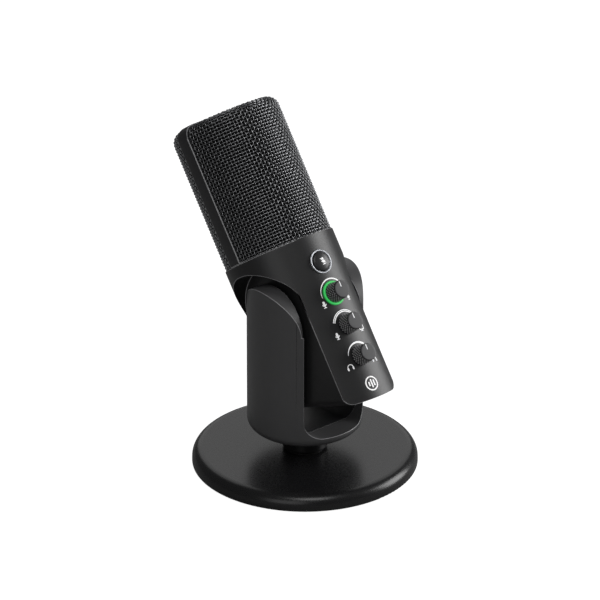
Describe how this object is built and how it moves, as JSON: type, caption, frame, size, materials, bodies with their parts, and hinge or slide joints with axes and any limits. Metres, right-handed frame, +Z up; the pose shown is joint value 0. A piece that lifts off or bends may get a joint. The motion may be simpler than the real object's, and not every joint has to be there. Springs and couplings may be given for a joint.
{
  "type": "desktop microphone",
  "caption": "Side-address desktop microphone with a woven wire grille, front knobs and mute button, tilting in a U-shaped cradle on a round base.",
  "frame": {"origin": "middle of the round base, on the surface it stands on", "axes": "+Z up, -Y towards the controls, +X to the right when the controls are looked at; the microphone leans back towards +Y"},
  "size_m": [0.125, 0.1544, 0.2024],
  "materials": {
    "base_paint": "fine satin black powder coat on cast metal",
    "foot_rubber": "matt moulded rubber",
    "cradle_paint": "satin charcoal paint on die-cast aluminium",
    "liner_plastic": "matt moulded plastic",
    "bracket_steel": "zinc-plated pressed steel",
    "collar_black": "black anodised turned aluminium",
    "brass": "turned brass",
    "screw_steel": "zinc-plated steel",
    "black_screw": "black oxide steel",
    "friction_nylon": "black nylon",
    "housing_plastic": "fine-textured satin charcoal plastic",
    "chassis_plastic": "glass-filled plastic",
    "band_plastic": "satin black plastic",
    "mesh_wire": "black coated woven steel wire",
    "foam": "open-cell black foam",
    "capsule_metal": "bare aluminium",
    "soft_rubber": "soft black rubber",
    "circuit_board": "green solder mask on glass epoxy",
    "socket_metal": "nickel-plated steel",
    "black_plastic": "black moulded plastic",
    "ring_metal": "satin anodised ring",
    "light_guide": "translucent light guide that glows green",
    "pot_body": "potentiometer body",
    "knob_plastic": "satin black moulded plastic",
    "button_plastic": "satin black moulded plastic",
    "white_plastic": "natural plastic"
  },
  "bodies": {
    "base": {"base_disc": "base_paint", "foot_pad": "foot_rubber", "neck_stud": "screw_steel", "stud_screws": "screw_steel", "neck_washer": "friction_nylon"},
    "cradle": {"cradle_shell": "cradle_paint", "cradle_liner": "liner_plastic", "cradle_frame": "bracket_steel", "neck_collar": "collar_black", "thread_insert": "brass", "frame_screws": "screw_steel", "pivot_bolts": "screw_steel", "spring_washers": "screw_steel", "friction_washers": "friction_nylon"},
    "microphone": {"housing": "housing_plastic", "rear_cover": "housing_plastic", "cover_screws": "black_screw", "chassis": "chassis_plastic", "pivot_bushes": "brass", "grille_frame": "band_plastic", "grille_screws": "screw_steel", "front_grille": "mesh_wire", "rear_grille": "mesh_wire", "foam_liner": "foam", "capsule": "capsule_metal", "capsule_mount": "soft_rubber", "capsule_bracket": "chassis_plastic", "control_board": "circuit_board", "board_screws": "screw_steel", "audio_board": "circuit_board", "usb_socket": "socket_metal", "headphone_jack": "black_plastic", "mute_ring": "ring_metal", "mute_switch": "black_plastic", "gain_light_ring": "light_guide", "gain_pot": "pot_body", "mix_pot": "pot_body", "headphone_pot": "pot_body"},
    "mute_key": {"mute_button": "button_plastic", "switch_plunger": "white_plastic"},
    "gain_dial": {"gain_shaft": "screw_steel", "gain_knob": "knob_plastic"},
    "mix_dial": {"mix_shaft": "screw_steel", "mix_knob": "knob_plastic"},
    "headphone_dial": {"headphone_shaft": "screw_steel", "headphone_knob": "knob_plastic"}
  },
  "joints": [
    {"name": "cradle_swivel", "type": "hinge", "parent": "base", "child": "cradle", "pos_m": [0, 0, 0.0098], "axis": [0, 0, 1], "range_deg": [-180, 180]},
    {"name": "mic_tilt", "type": "hinge", "parent": "cradle", "child": "microphone", "pos_m": [0, 0, 0.0913], "axis": [1, 0, 0], "range_deg": [-14, 40]},
    {"name": "mute_press", "type": "slide", "parent": "microphone", "child": "mute_key", "axis": [0, 0.809, -0.5878], "range_m": [0, 0.0012], "stiffness_N_per_m": 900, "springref_m": -0.0009},
    {"name": "gain_turn", "type": "hinge", "parent": "microphone", "child": "gain_dial", "pos_m": [0, -0.02742, 0.11481], "axis": [0, -0.809, 0.5878], "range_deg": [-150, 150]},
    {"name": "mix_turn", "type": "hinge", "parent": "microphone", "child": "mix_dial", "pos_m": [0, -0.03829, 0.09984], "axis": [0, -0.809, 0.5878], "range_deg": [-150, 150]},
    {"name": "headphone_turn", "type": "hinge", "parent": "microphone", "child": "headphone_dial", "pos_m": [0, -0.04917, 0.08487], "axis": [0, -0.809, 0.5878], "range_deg": [-150, 150]}
  ]
}
